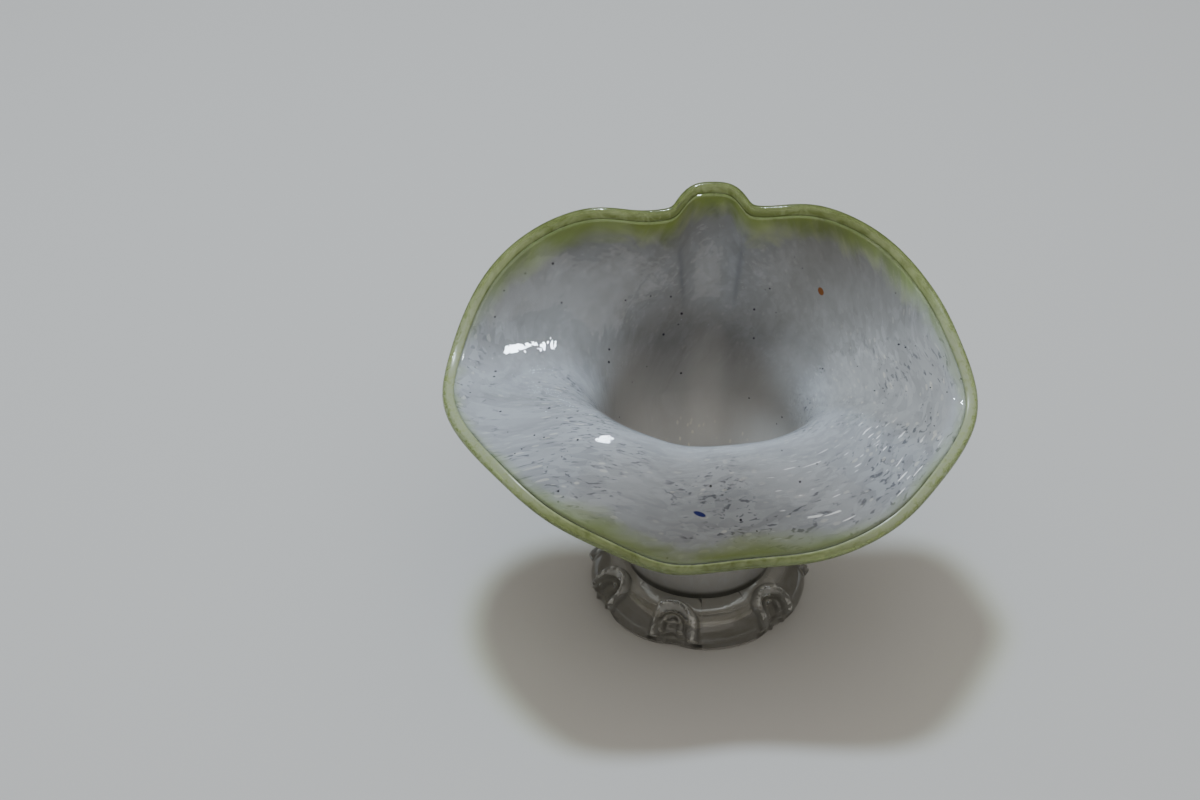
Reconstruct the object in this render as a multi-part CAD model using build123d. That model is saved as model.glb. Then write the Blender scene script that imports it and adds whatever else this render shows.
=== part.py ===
from build123d import *
import math
import os

import numpy as np

# A blown glass bowl with a rolled lip and a clear, pinched foot. Millimetres and degrees.
# +Z is up, the rolled lip hangs towards -Y, and the origin is the centre of the foot's flat base.
# Angles round the bowl start at the front of the lip and run towards +X.

# The lip, as stations round it: angle, distance from the axis, height of the outer edge, and the slope
# of the wall there above the horizontal, which is negative where the lip hangs.
lip_stations = [
    (0, 67.5, 60.5, -68),
    (16, 69.5, 62.5, -66),
    (30, 77.5, 66.5, -55),
    (44, 86, 75, -38),
    (60, 88.5, 80.5, -22),
    (76, 92, 82.5, -5),
    (88, 94.5, 88.5, 15),
    (100, 90, 101, 40),
    (114, 87.5, 110, 52),
    (128, 81, 121.5, 60),
    (141, 67.5, 130.5, 68),
    (155, 58, 130, 70),
    (178, 54, 129.5, 70),
    (204, 57.5, 128.5, 70),
    (218, 67.5, 129, 66),
    (230, 79.5, 121.5, 60),
    (245, 88, 107, 50),
    (260, 91, 92, 20),
    (275, 91, 88.5, 0),
    (290, 88, 88, -12),
    (305, 85.5, 86, -28),
    (320, 83, 79.5, -45),
    (334, 76.5, 70.5, -58),
    (348, 71, 62, -66),
]

# The spout, a groove pinched into the back of the wall.
spout_angle = 176
spout_half_width = 10.6
spout_shoulder_width = 19
spout_shoulder_share = 0.18
spout_reach = 6.5
spout_rise = 6.5
spout_fade_start = 0.25

# The inside of the bowl under the lip: a rounded floor, then a wall that leans out to the throat.
floor_height = 9
floor_reach = 15
corner_radius = 25
corner_height = 30
corner_slope = 86
corner_pull = 13
throat_radius = 33.5
throat_height = 66
throat_slope = 84
throat_pull = 12

# How far the flare keeps each end's direction, at the back and, added, at the front.
flare_pull_back = (37, 24)
flare_pull_front = (11, 10)

# Glass thickness.
lining_thickness = 1.6
wall_thickness = 4
lip_depth = 4
lip_swell = 0.5

# The foot.
casing_base_height = 2
casing_base_radius = 21
foot_height = 14.5
foot_profile = [(37.5, 0), (39.3, 2), (39.6, 5), (38, 8.5), (34.6, 11.8), (31, 13.8), (28, foot_height)]
foot_dish_radius = 24
foot_dish_depth = 3
crimp_angles = (-64, -15, 45, 98, 150, 203, 250)
crimp_notch = 1.6
crimp_notch_width = 9
crimp_loop_radius = 6.8
crimp_bar_radius = 2.2
crimp_arch_angle = 230
crimp_foot_radius = 2.8
crimp_centre_radius = 32.5
crimp_centre_height = 10.8
crimp_lean = 35

ring_points = 120
floor_rings = (0.3, 0.5, 0.7, 0.86, 1)
wall_rings = (1.3, 1.65, 2)
flare_rings = (2.1, 2.2, 2.3, 2.4, 2.5, 2.6, 2.7, 2.8, 2.9, 3)
all_rings = floor_rings + wall_rings + flare_rings


def spline_bends(angles, values):
    """The second derivatives of the closed cubic through values at angles."""
    count = len(angles)
    gaps = np.diff(np.append(angles, angles[0] + 360))
    slopes = (np.roll(values, -1) - values) / gaps
    matrix = np.zeros((count, count))
    for here in range(count):
        matrix[here, here - 1] += gaps[here - 1]
        matrix[here, here] += 2 * (gaps[here - 1] + gaps[here])
        matrix[here, (here + 1) % count] += gaps[here]
    return np.linalg.solve(matrix, 6 * (slopes - np.roll(slopes, 1)))


def round_the_lip(column, angle):
    """One column of the lip's stations at any angle, on a closed cubic."""
    stations = np.array(lip_stations, float)
    angles = stations[:, 0]
    values = stations[:, column]
    bends = spline_bends(angles, values)
    gaps = np.diff(np.append(angles, 360))
    angle = np.mod(angle, 360)
    here = np.searchsorted(angles, angle, side="right") - 1
    after = (here + 1) % len(angles)
    gap = gaps[here]
    done = angle - angles[here]
    left = gap - done
    curve = (bends[here] * left**3 + bends[after] * done**3) / (6 * gap)
    start = (values[here] / gap - bends[here] * gap / 6) * left
    end = (values[after] / gap - bends[after] * gap / 6) * done
    return curve + start + end


def bezier(start, pull_start, pull_end, end, along):
    """A cubic Bezier through four numbers."""
    back = 1 - along
    return start * back**3 + 3 * pull_start * along * back**2 + 3 * pull_end * along**2 * back + end * along**3


def floor_curve(along):
    """The rounded floor, from the axis to the corner."""
    slope = math.radians(corner_slope)
    radius = bezier(0, floor_reach, corner_radius - corner_pull * math.cos(slope), corner_radius, along)
    below = corner_height - corner_pull * math.sin(slope)
    return radius, bezier(floor_height, floor_height, below, corner_height, along)


def wall_curve(along):
    """The wall, from the corner of the floor up to the throat."""
    low = math.radians(corner_slope)
    high = math.radians(throat_slope)
    radius = bezier(
        corner_radius,
        corner_radius + corner_pull * math.cos(low),
        throat_radius - throat_pull * math.cos(high),
        throat_radius,
        along,
    )
    height = bezier(
        corner_height,
        corner_height + corner_pull * math.sin(low),
        throat_height - throat_pull * math.sin(high),
        throat_height,
        along,
    )
    return radius, height


def flare_curve(along, angle):
    """The flare, from the throat out to where the lip wrap begins."""
    lean = np.radians(round_the_lip(3, angle))
    end_radius = round_the_lip(1, angle) - lip_depth * np.cos(lean)
    end_height = round_the_lip(2, angle) - lip_depth * np.sin(lean)
    front = ((1 + np.cos(np.radians(angle))) / 2) ** 2
    start_pull = flare_pull_back[0] + flare_pull_front[0] * front
    end_pull = flare_pull_back[1] + flare_pull_front[1] * front
    start = math.radians(throat_slope)
    radius = bezier(
        throat_radius,
        throat_radius + start_pull * math.cos(start),
        end_radius - end_pull * np.cos(lean),
        end_radius,
        along,
    )
    height = bezier(
        throat_height,
        throat_height + start_pull * math.sin(start),
        end_height - end_pull * np.sin(lean),
        end_height,
        along,
    )
    return radius, height


def inside_surface(along, angle):
    """Points of the bowl's inside: along is 0 to 1 on the floor, to 2 on the wall and to 3 on the flare."""
    if along <= 1:
        radius, height = floor_curve(along)
    elif along <= 2:
        radius, height = wall_curve(along - 1)
    else:
        radius, height = flare_curve(along - 2, angle)
    arc = np.radians(np.mod(angle - spout_angle + 180, 360) - 180) * round_the_lip(1, spout_angle)
    groove = (1 - spout_shoulder_share) * np.exp(-((arc / spout_half_width) ** 4))
    groove = groove + spout_shoulder_share * np.exp(-((arc / spout_shoulder_width) ** 2))
    ramp = np.clip((along - 2 - spout_fade_start) / (1 - spout_fade_start), 0, 1)
    ramp = ramp * ramp * (3 - 2 * ramp)
    radius = radius + spout_reach * groove * ramp
    height = height + spout_rise * groove * ramp**2
    turn = np.radians(angle)
    return np.stack([radius * np.sin(turn), -radius * np.cos(turn), height + 0 * turn], -1)


def unit(vectors):
    """The same vectors, each of length one."""
    return vectors / np.linalg.norm(vectors, axis=-1, keepdims=True)


def surface_directions(along, angle):
    """The inside's outward normal, away from the space in the bowl, and its direction towards the lip."""
    small = 0.001
    side = inside_surface(along, angle + 0.2) - inside_surface(along, angle - 0.2)
    up = inside_surface(min(along + small, 3), angle) - inside_surface(along - small, angle)
    return unit(np.cross(side, up)), unit(up)


def ring_angles():
    """Even angles round the bowl."""
    return np.arange(ring_points) * 360 / ring_points


def ring_edge(points):
    """A closed smooth edge through one ring of points."""
    evenly = [float(k) for k in range(len(points) + 1)]
    return Edge.make_spline([Vector(*p) for p in points], periodic=True, parameters=evenly)


def offset_points(along, depth):
    """One ring of points at a depth into the glass, measured square to the inside."""
    angle = ring_angles()
    outward, _ = surface_directions(along, angle)
    return inside_surface(along, angle) + depth * outward


def flat_disc(points):
    """A level disc inside a level ring of points."""
    return Face(Wire([ring_edge(points)]))


def level(points):
    """The same ring, made exactly level."""
    flat = points.copy()
    flat[:, 2] = points[:, 2].mean()
    return flat


def bowl_rings(depth):
    """Rings of points over one surface of the bowl, from near its centre out to the lip."""
    rings = [offset_points(along, depth) for along in all_rings]
    rings[0] = level(rings[0])
    return rings


def casing_rings():
    """The casing's outside: the wall's outside, with a thick flat base."""
    turn = np.radians(ring_angles())
    around = np.stack([np.sin(turn), -np.cos(turn), 0 * turn], -1)
    base = around * casing_base_radius + np.array([0, 0, casing_base_height])
    heel = around * (casing_base_radius + 3.5) + np.array([0, 0, casing_base_height + 2.2])
    return [base, heel] + [offset_points(along, wall_thickness) for along in all_rings[3:]]


def skin(rings):
    """A smooth surface through rings of points."""
    return Shell.make_loft([Wire([ring_edge(points)]) for points in rings]).faces()


def ruled(points_a, points_b):
    """A straight-sided band between two rings of points."""
    return Face.make_surface_from_curves(ring_edge(points_a), ring_edge(points_b))


def sewn_solid(faces):
    """A solid from faces that close on each other."""
    return Solid(Shell(Face.sew_faces(faces)[0]))


def walled_solid(inner, outer):
    """A bowl-shaped solid between two sets of rings, closed by its floor discs and its edge."""
    faces = list(skin(inner)) + list(skin(outer))
    faces += [flat_disc(inner[0]), flat_disc(outer[0]), ruled(inner[-1], outer[-1])]
    return sewn_solid(faces)


def opal_lining():
    """The inner layer, crowded with white frit."""
    return walled_solid(bowl_rings(0), bowl_rings(lining_thickness))


def clear_casing():
    """The clear outer gather, from the lining to the outside, thick at the base."""
    return walled_solid(bowl_rings(lining_thickness), casing_rings())


def lip_rings():
    """Rings of points round the bead, from the wall's inside edge over the lip to its outside edge."""
    angle = ring_angles()
    edge = inside_surface(3, angle)
    outward, towards_lip = surface_directions(3, angle)
    middle = edge + outward * wall_thickness / 2
    rings = []
    for turn in np.radians((0, 22, 45, 68, 90, 112, 135, 158, 180)):
        half = wall_thickness / 2 + lip_swell * math.sin(turn)
        across = -half * math.cos(turn)
        rings.append(middle + outward * across + towards_lip * lip_depth * math.sin(turn))
    return rings


def green_lip_wrap():
    """The thread of green glass melted round the lip."""
    rings = lip_rings()
    return sewn_solid(list(skin(rings)) + [ruled(rings[0], rings[-1])])


def largest(shape):
    """The largest solid of a shape."""
    return sorted(shape.solids(), key=lambda solid: solid.volume)[-1]


def foot_ring_points(radius, height):
    """A ring of the foot's outline, nipped in beside each crimp."""
    angle = ring_angles()
    nip = 0 * angle
    for crimp in crimp_angles:
        away = np.mod(angle - crimp + 180, 360) - 180
        nip = nip + np.exp(-((away / crimp_notch_width) ** 2))
    reach = radius - crimp_notch * nip
    turn = np.radians(angle)
    return np.stack([reach * np.sin(turn), -reach * np.cos(turn), 0 * turn + height], -1)


def foot_ring(casing):
    """The clear collar, round the base of the casing and open under it."""
    rings = [foot_ring_points(radius, height) for radius, height in foot_profile]
    collar = sewn_solid(list(skin(rings)) + [flat_disc(rings[0]), flat_disc(rings[-1])])
    dish = Pos(0, 0, foot_dish_depth / 2) * Cylinder(foot_dish_radius, foot_dish_depth)
    return largest(collar - casing - dish)


def pinched_loop():
    """An arch of glass rod with a bead at each foot, standing in the XY plane with its top towards +Y."""
    half = crimp_arch_angle / 2
    arch = Rot(0, 0, 90 - half) * Torus(crimp_loop_radius, crimp_bar_radius, major_angle=crimp_arch_angle)
    for side in (-1, 1):
        turn = math.radians(90 + side * half)
        foot = Pos(crimp_loop_radius * math.cos(turn), crimp_loop_radius * math.sin(turn), 0)
        arch = arch + foot * Sphere(crimp_foot_radius)
    return arch


def foot_crimp(angle, casing, ring):
    """One loop of glass pinched up against the casing, standing on the collar."""
    turn = math.radians(angle)
    place = Pos(
        crimp_centre_radius * math.sin(turn), -crimp_centre_radius * math.cos(turn), crimp_centre_height
    )
    stand = place * Rot(0, 0, angle) * Rot(90 - crimp_lean, 0, 0)
    return largest(stand * pinched_loop() - casing - ring)


def build():
    """Every piece of the bowl, by name."""
    casing = clear_casing()
    ring = foot_ring(casing)
    pieces = {
        "opal_lining": opal_lining(),
        "clear_casing": casing,
        "green_lip_wrap": green_lip_wrap(),
        "foot_ring": ring,
    }
    for number, angle in enumerate(crimp_angles, 1):
        pieces[f"foot_crimp_{number}"] = foot_crimp(angle, casing, ring)
    return pieces


os.makedirs("parts", exist_ok=True)
for name, piece in build().items():
    export_step(piece, f"parts/{name}.step")
    print(name, round(piece.volume), piece.is_valid)
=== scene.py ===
import math

import bpy
import numpy as np
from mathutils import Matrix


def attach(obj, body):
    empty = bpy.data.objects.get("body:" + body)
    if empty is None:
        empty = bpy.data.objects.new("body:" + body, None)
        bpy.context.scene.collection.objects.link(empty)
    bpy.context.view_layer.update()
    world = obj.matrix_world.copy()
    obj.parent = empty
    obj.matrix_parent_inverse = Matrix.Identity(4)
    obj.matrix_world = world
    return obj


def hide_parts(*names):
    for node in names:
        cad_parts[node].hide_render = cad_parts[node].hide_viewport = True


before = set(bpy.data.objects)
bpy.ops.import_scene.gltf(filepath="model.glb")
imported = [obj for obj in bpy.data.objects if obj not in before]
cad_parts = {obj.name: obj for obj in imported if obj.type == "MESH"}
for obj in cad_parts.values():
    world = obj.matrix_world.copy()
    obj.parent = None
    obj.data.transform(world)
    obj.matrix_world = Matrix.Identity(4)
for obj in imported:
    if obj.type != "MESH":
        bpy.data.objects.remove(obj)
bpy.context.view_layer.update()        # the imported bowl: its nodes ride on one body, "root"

# A blown glass bowl: a white spatter layer inside clear glass, a green wrap round a rolled lip, and a
# clear collar pinched into loops. Shapes are worked out in millimetres and put into meshes in metres.
# Angles round the bowl are in degrees, start at the front of the lip (-Y) and run towards +X.
# "Along" runs from 0 at the middle of the floor to 1 at its corner, 2 at the throat and 3 near the lip.
metre = 0.001  # metres in a millimetre

bowl = {
    # angle, reach from the axis, height, and the wall's slope, which is negative where the lip hangs
    "lip": [
        (0, 67.5, 60.5, -68), (16, 69.5, 62.5, -66), (30, 77.5, 66.5, -55), (44, 86, 75, -38),
        (60, 88.5, 80.5, -22), (76, 92, 82.5, -5), (88, 94.5, 88.5, 15), (100, 90, 101, 40),
        (114, 87.5, 110, 52), (128, 81, 121.5, 60), (141, 67.5, 130.5, 68), (155, 58, 130, 70),
        (178, 54, 129.5, 70), (204, 57.5, 128.5, 70), (218, 67.5, 129, 66), (230, 79.5, 121.5, 60),
        (245, 88, 107, 50), (260, 91, 92, 20), (275, 91, 88.5, 0), (290, 88, 88, -12),
        (305, 85.5, 86, -28), (320, 83, 79.5, -45), (334, 76.5, 70.5, -58), (348, 71, 62, -66),
    ],
    "floorHeight": 9,
    "floorReach": 15,  # how far out the floor stays level
    "corner": (25, 30, 86, 13),  # radius, height, slope and pull
    "throat": (33.5, 66, 84, 12),
    "flarePull": (37, 24),  # how far the flare keeps each end's direction at the back
    "frontPull": (11, 10),  # and how much further at the front
    "wall": 4,  # thickness
    "lipDepth": 4,  # how far the wrap stands out
    "lipSwell": 0.5,  # and how much thicker than the wall it is
    "around": 432,  # points in a ring
    # the casing's round base, as radius and height, and the curve from its heel up to the wall
    "base": [(10, 2.3), (19.5, 2), (21.3, 2.15), (22.8, 2.75), (23.8, 3.5), (24.5, 4.5)],
    "side": [(24.5, 4.5), (25.9, 9.5), (27, 16.5), (27.9, 23.4)],
}

# the spout: a groove in the back, with softer shoulders beside it
spout = {
    "angle": 176,
    "halfWidth": 10.6,
    "shoulderWidth": 19,
    "shoulderShare": 0.18,
    "reach": 6.5,  # how far it pushes the lip out, and up
    "rise": 6.5,
    "start": 0.25,  # how far up the flare it begins
    # painted shade: the grey line down each side of the groove
    "creaseOut": 1.5,  # a grey line down each side: how far out, its half width, and where
    "creaseWidth": 1.3,  # along the wall it comes in and goes out
    "creaseFrom": (2.35, 0.2),
    "creaseTo": (2.86, -0.1),
}


def closedCubic(angles, values):
    # second derivatives of the closed cubic through values at angles: each one, weighted by the gaps
    # beside it, equals six times the change of slope there
    count = len(angles)
    gaps = np.diff(np.append(angles, angles[0] + 360))
    slopes = (np.roll(values, -1) - values) / gaps
    before = np.roll(gaps, 1)
    matrix = np.diag(2 * (before + gaps))
    here = np.arange(count)
    matrix[here, here - 1] += before
    matrix[here, (here + 1) % count] += gaps
    return np.linalg.solve(matrix, 6 * (slopes - np.roll(slopes, 1)))


def roundTheLip(column, angle):
    # one column of the lip's stations at any angle, on the closed cubic
    stations = np.array(bowl["lip"], float)
    angles, values = stations[:, 0], stations[:, column]
    bends = closedCubic(angles, values)
    gaps = np.diff(np.append(angles, 360))
    angle = np.mod(angle, 360)
    here = np.searchsorted(angles, angle, side="right") - 1
    after = (here + 1) % len(angles)
    gap = gaps[here]
    done = angle - angles[here]
    left = gap - done
    curve = (bends[here] * left**3 + bends[after] * done**3) / (6 * gap)
    return (
        curve
        + (values[here] / gap - bends[here] * gap / 6) * left
        + (values[after] / gap - bends[after] * gap / 6) * done
    )


def bezier(a, b, c, d, t):
    # cubic Bezier: a(1-t)^3 + 3bt(1-t)^2 + 3ct^2(1-t) + dt^3
    back = 1 - t
    return a * back**3 + 3 * b * t * back**2 + 3 * c * t**2 * back + d * t**3


def smooth(t):
    # 0 to 1 with flat ends: 3t^2 - 2t^3
    t = np.clip(t, 0, 1)
    return t * t * (3 - 2 * t)


def fade(values, start, over):
    # 0 to 1 from the start on, over a distance; a negative one comes in downwards
    return smooth((values - start) / over)


def bell(away, width, power=2):
    # 1 at the middle, falling off to both sides: e^-(away/width)^power
    return np.exp(-((away / width) ** power))


def cosine(degrees):
    # the cosine of an angle in degrees
    return np.cos(np.radians(degrees))


def sine(degrees):
    # the sine of an angle in degrees
    return np.sin(np.radians(degrees))


def eitherWay(angle):
    # an angle as -180 to 180: how far it is from 0, and on which side
    return np.mod(angle + 180, 360) - 180


def spoutArc(angle):
    # millimetres round the lip from the middle of the spout: angle times reach
    return np.radians(eitherWay(angle - spout["angle"])) * roundTheLip(1, spout["angle"])


def profileCurve(start, end, t):
    # a Bezier's reach and height between two ends, each given as reach, height, slope and how far the
    # curve keeps to that slope
    (r, z, slope, pull), (endR, endZ, endSlope, endPull) = start, end
    reach = bezier(r, r + pull * cosine(slope), endR - endPull * cosine(endSlope), endR, t)
    height = bezier(z, z + pull * sine(slope), endZ - endPull * sine(endSlope), endZ, t)
    return np.stack([reach, height])


def roundTheAxis(reach, angle, height):
    # points at an angle: reach times its sine, less reach times its cosine, and height
    return np.stack([reach * sine(angle), -reach * cosine(angle), height + 0 * angle], -1)


def insideOfBowl(along, angle):
    # three Beziers end to end in each half plane through the axis: floor, wall and flare. The flare ends
    # at the lip's own reach, height and slope, and the spout adds a flat-topped bump to reach and height
    # that grows towards the lip.
    along, angle = np.broadcast_arrays(np.asarray(along, float), np.asarray(angle, float))
    corner, throat = bowl["corner"], bowl["throat"]
    centre = (0, bowl["floorHeight"], 0, bowl["floorReach"])
    floor = profileCurve(centre, corner, np.clip(along, 0, 1))
    wall = profileCurve(corner, throat, np.clip(along - 1, 0, 1))
    slope = roundTheLip(3, angle)
    endR = roundTheLip(1, angle) - bowl["lipDepth"] * cosine(slope)
    endZ = roundTheLip(2, angle) - bowl["lipDepth"] * sine(slope)
    front = ((1 + cosine(angle)) / 2) ** 2
    startPull, endPull = [
        pull + more * front for pull, more in zip(bowl["flarePull"], bowl["frontPull"])
    ]
    start = (*throat[:3], startPull)
    flare = profileCurve(start, (endR, endZ, slope, endPull), np.clip(along - 2, 0, 1))
    radius, height = np.where(along < 1, floor, np.where(along < 2, wall, flare))
    arc, share = spoutArc(angle), spout["shoulderShare"]
    groove = (1 - share) * bell(arc, spout["halfWidth"], 4) + share * bell(arc, spout["shoulderWidth"])
    ramp = smooth((along - 2 - spout["start"]) / (1 - spout["start"]))
    radius = radius + spout["reach"] * groove * ramp
    height = height + spout["rise"] * groove * ramp**2
    return roundTheAxis(radius, angle, height)


def unit(vectors):
    # vectors over their lengths
    return vectors / np.maximum(np.linalg.norm(vectors, axis=-1, keepdims=True), 1e-9)


def wallFrame(along, angle):
    # the direction out of the bowl's space into the glass, and the direction along the wall to the lip:
    # central differences of the surface, and their cross product
    along, angle = np.broadcast_arrays(np.asarray(along, float), np.asarray(angle, float))
    step, turn, nearPole = 0.002, 0.3, 0.01
    low = np.clip(along - step, nearPole, 3 - 2 * step)
    up = insideOfBowl(low + 2 * step, angle) - insideOfBowl(low, angle)
    middle = np.clip(along, nearPole, 3)
    side = insideOfBowl(middle, angle + turn) - insideOfBowl(middle, angle - turn)
    return unit(np.cross(side, up)), unit(up)


def wallPoints(along, angle, depth):
    # the inside, plus depth times the direction into the glass
    into, _ = wallFrame(along, angle)
    return insideOfBowl(along, angle) + np.asarray(depth)[..., None] * into


def gridQuads(number):
    # a quad between each four neighbours in a grid of point numbers
    a, b, c, d = number[:-1, :-1], number[:-1, 1:], number[1:, 1:], number[1:, :-1]
    return np.stack([a, b, c, d], -1).reshape(-1, 4)


def gridMesh(name, points, closedRows=False, startPole=False, endPole=False, attributes=None):
    # a closed tube of quads over rows of points, each row a ring. A pole closes an end with triangles to
    # the ring's centre; closedRows joins the last ring to the first instead.
    rows, columns = points.shape[:2]
    vertices = points.reshape(-1, 3)
    number = np.arange(rows * columns).reshape(rows, columns)
    number = np.hstack([number, number[:, :1]])
    quads = gridQuads(np.vstack([number, number[:1]]) if closedRows else number)
    faces = quads.tolist()
    sources = [np.arange(rows * columns)]
    for wanted, ring, turn in ((startPole, 0, -1), (endPole, rows - 1, 1)):
        if wanted:
            centre = len(vertices)
            vertices = np.vstack([vertices, points[ring].mean(0)])
            near = ring * columns + np.arange(columns)
            fan = np.stack([near, np.roll(near, -1), np.full(columns, centre)], -1)
            faces += (fan if turn > 0 else fan[:, ::-1]).tolist()
            sources.append(np.array([ring * columns]))
    mesh = bpy.data.meshes.new(name)
    mesh.from_pydata((vertices * metre).tolist(), [], faces)
    order = np.concatenate(sources)
    for key, values in (attributes or {}).items():
        flat = values.reshape(rows * columns, -1)[order]
        kind = "FLOAT" if flat.shape[1] == 1 else "FLOAT_VECTOR"
        layer = mesh.attributes.new(key, kind, "POINT")
        layer.data.foreach_set("value" if kind == "FLOAT" else "vector", flat.astype(np.float32).ravel())
    mesh.polygons.foreach_set("use_smooth", np.ones(len(mesh.polygons), bool))
    mesh.update()
    return mesh


def markJoints(mesh, index):
    # index is 1 where a face has the second material. Those faces are flat, so that the glass beside
    # them is shaded as if they weren't there.
    mesh.polygons.foreach_set("material_index", index.astype(np.int32))
    mesh.polygons.foreach_set("use_smooth", index == 0)
    mesh.update()


def placePiece(name, mesh, materials, slot, *nodes):
    # a finished piece rides on the root and stands for its nodes
    piece = bpy.data.objects.new(name, mesh)
    bpy.context.scene.collection.objects.link(piece)
    for material in materials:
        mesh.materials.append(material)
    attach(piece, "root")
    if nodes:
        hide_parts(*nodes)
    print("made", name, "with", len(mesh.polygons), "faces")
    return piece


class Wire:
    # a socket with arithmetic: an expression on wires adds its Math nodes
    def __init__(self, tree, socket):
        self.tree, self.socket = tree, socket

    def maths(self, operation, *values):
        node = self.tree.nodes.new("ShaderNodeMath")
        node.operation = operation
        for index, value in enumerate(values):
            feed(self.tree, node.inputs[index], value)
        return Wire(self.tree, node.outputs[0])

    def __add__(self, other): return self.maths("ADD", self, other)
    def __radd__(self, other): return self.maths("ADD", other, self)
    def __sub__(self, other): return self.maths("SUBTRACT", self, other)
    def __rsub__(self, other): return self.maths("SUBTRACT", other, self)
    def __mul__(self, other): return self.maths("MULTIPLY", self, other)
    def __rmul__(self, other): return self.maths("MULTIPLY", other, self)
    def __pow__(self, other): return self.maths("POWER", self, other)

    def clipped(self):
        # kept between 0 and 1
        return self.ramp(0, 1)

    def ramp(self, low, high, start=0, end=1, kind="LINEAR"):
        # start where the value is low, end where it is high
        settings = {"interpolation_type": kind}
        values = {"Value": self, "From Min": low, "From Max": high, "To Min": start, "To Max": end}
        return makeNode(self.tree, "ShaderNodeMapRange", settings, **values)["Result"]


def feed(tree, socket, value):
    # a wire is linked, a colour gets its alpha, and a number is set
    if isinstance(value, Wire):
        tree.links.new(value.socket, socket)
    elif socket.type == "RGBA" and len(value) == 3:
        socket.default_value = (*value, 1)
    else:
        socket.default_value = value


def makeNode(tree, kind, settings=None, **inputs):
    # one node of any kind: settings first, then its sockets, by name with _ for a space, or by number
    # as i0, i1 and on. Gives its outputs by name.
    node = tree.nodes.new(kind)
    for key, value in (settings or {}).items():
        setattr(node, key, value)
    for key, value in inputs.items():
        numbered = key[0] == "i" and key[1:].isdigit()
        feed(tree, node.inputs[int(key[1:]) if numbered else key.replace("_", " ")], value)
    return {socket.name: Wire(tree, socket) for socket in node.outputs if socket.enabled}


def colourMix(factor, first, second):
    # first where the factor is 0, second where it is 1
    node = factor.tree.nodes.new("ShaderNodeMix")
    node.data_type = "RGBA"
    for index, value in ((0, factor), (6, first), (7, second)):
        feed(factor.tree, node.inputs[index], value)
    return Wire(factor.tree, node.outputs[2])


def shaderMix(factor, first, second):
    # first where the factor is 0, second where it is 1
    return makeNode(first.tree, "ShaderNodeMixShader", i0=factor, i1=first, i2=second)["Shader"]


def vectorMaths(operation, first, *others, output="Vector"):
    # one Vector Math node
    values = {f"i{number}": value for number, value in enumerate((first, *others))}
    return makeNode(first.tree, "ShaderNodeVectorMath", {"operation": operation}, **values)[output]


def carried(tree, *names):
    # numbers that a piece's mesh carries, and its flow as a vector
    found = [makeNode(tree, "ShaderNodeAttribute", {"attribute_name": name}) for name in names]
    return [node["Vector" if name == "flow" else "Fac"] for name, node in zip(names, found)]


def objectPlace(tree):
    # where a point is on the bowl, and its height
    place = makeNode(tree, "ShaderNodeTexCoord")["Object"]
    return place, makeNode(tree, "ShaderNodeSeparateXYZ", Vector=place)["Z"]


def cells(tree, vector, scale):
    # random cells: each one's colour as three chances, and the distance from its middle
    found = makeNode(tree, "ShaderNodeTexVoronoi", {"feature": "F1"}, Vector=vector, Scale=scale)
    return makeNode(tree, "ShaderNodeSeparateColor", Color=found["Color"]), found["Distance"]


def surface(tree, **inputs):
    # a general surface shader
    return makeNode(tree, "ShaderNodeBsdfPrincipled", **inputs)["BSDF"]


def clearShader(tree, colour):
    # lets light straight through, tinted
    return makeNode(tree, "ShaderNodeBsdfTransparent", Color=colour)["BSDF"]


def newMaterial(name):
    # an empty material, and its nodes
    print("mixing", name)
    material = bpy.data.materials.new(name)
    material.use_nodes = True
    material.node_tree.nodes.clear()
    return material, material.node_tree


def finishMaterial(tree, shader):
    # the shader goes to the surface
    output = tree.nodes.new("ShaderNodeOutputMaterial")
    tree.links.new(shader.socket, output.inputs["Surface"])


def noise(vector, scale, detail=3, roughness=0.5, distortion=0.0):
    # soft random values about 0.5, and colours
    numbers = {"Scale": scale, "Detail": detail, "Roughness": roughness, "Distortion": distortion}
    return makeNode(vector.tree, "ShaderNodeTexNoise", Vector=vector, **numbers)


lampLight = {
    "edgeOn": (0.55, 1),  # from here to here in facing, a surface holds back lamp light
    "edgeShare": 0.6,
    "edgeTint": (0.3, 0.3, 0.3),
}


def letLampsThrough(tree, glass, tints, share):
    # rays from lamps pass the glass unbent, so what lies under it is lit; share goes from the first of two
    # tints to the second, and surfaces seen edge on hold back some of the light
    first, second = [clearShader(tree, tint) for tint in tints]
    clear = shaderMix(share, first, second)
    facing = makeNode(tree, "ShaderNodeLayerWeight", Blend=0.5)["Facing"]
    edgeOn = facing.ramp(*lampLight["edgeOn"], 0, lampLight["edgeShare"])
    clear = shaderMix(edgeOn, clear, clearShader(tree, lampLight["edgeTint"]))
    rays = makeNode(tree, "ShaderNodeLightPath")
    return shaderMix(rays["Is Shadow Ray"], glass, clear)


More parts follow.
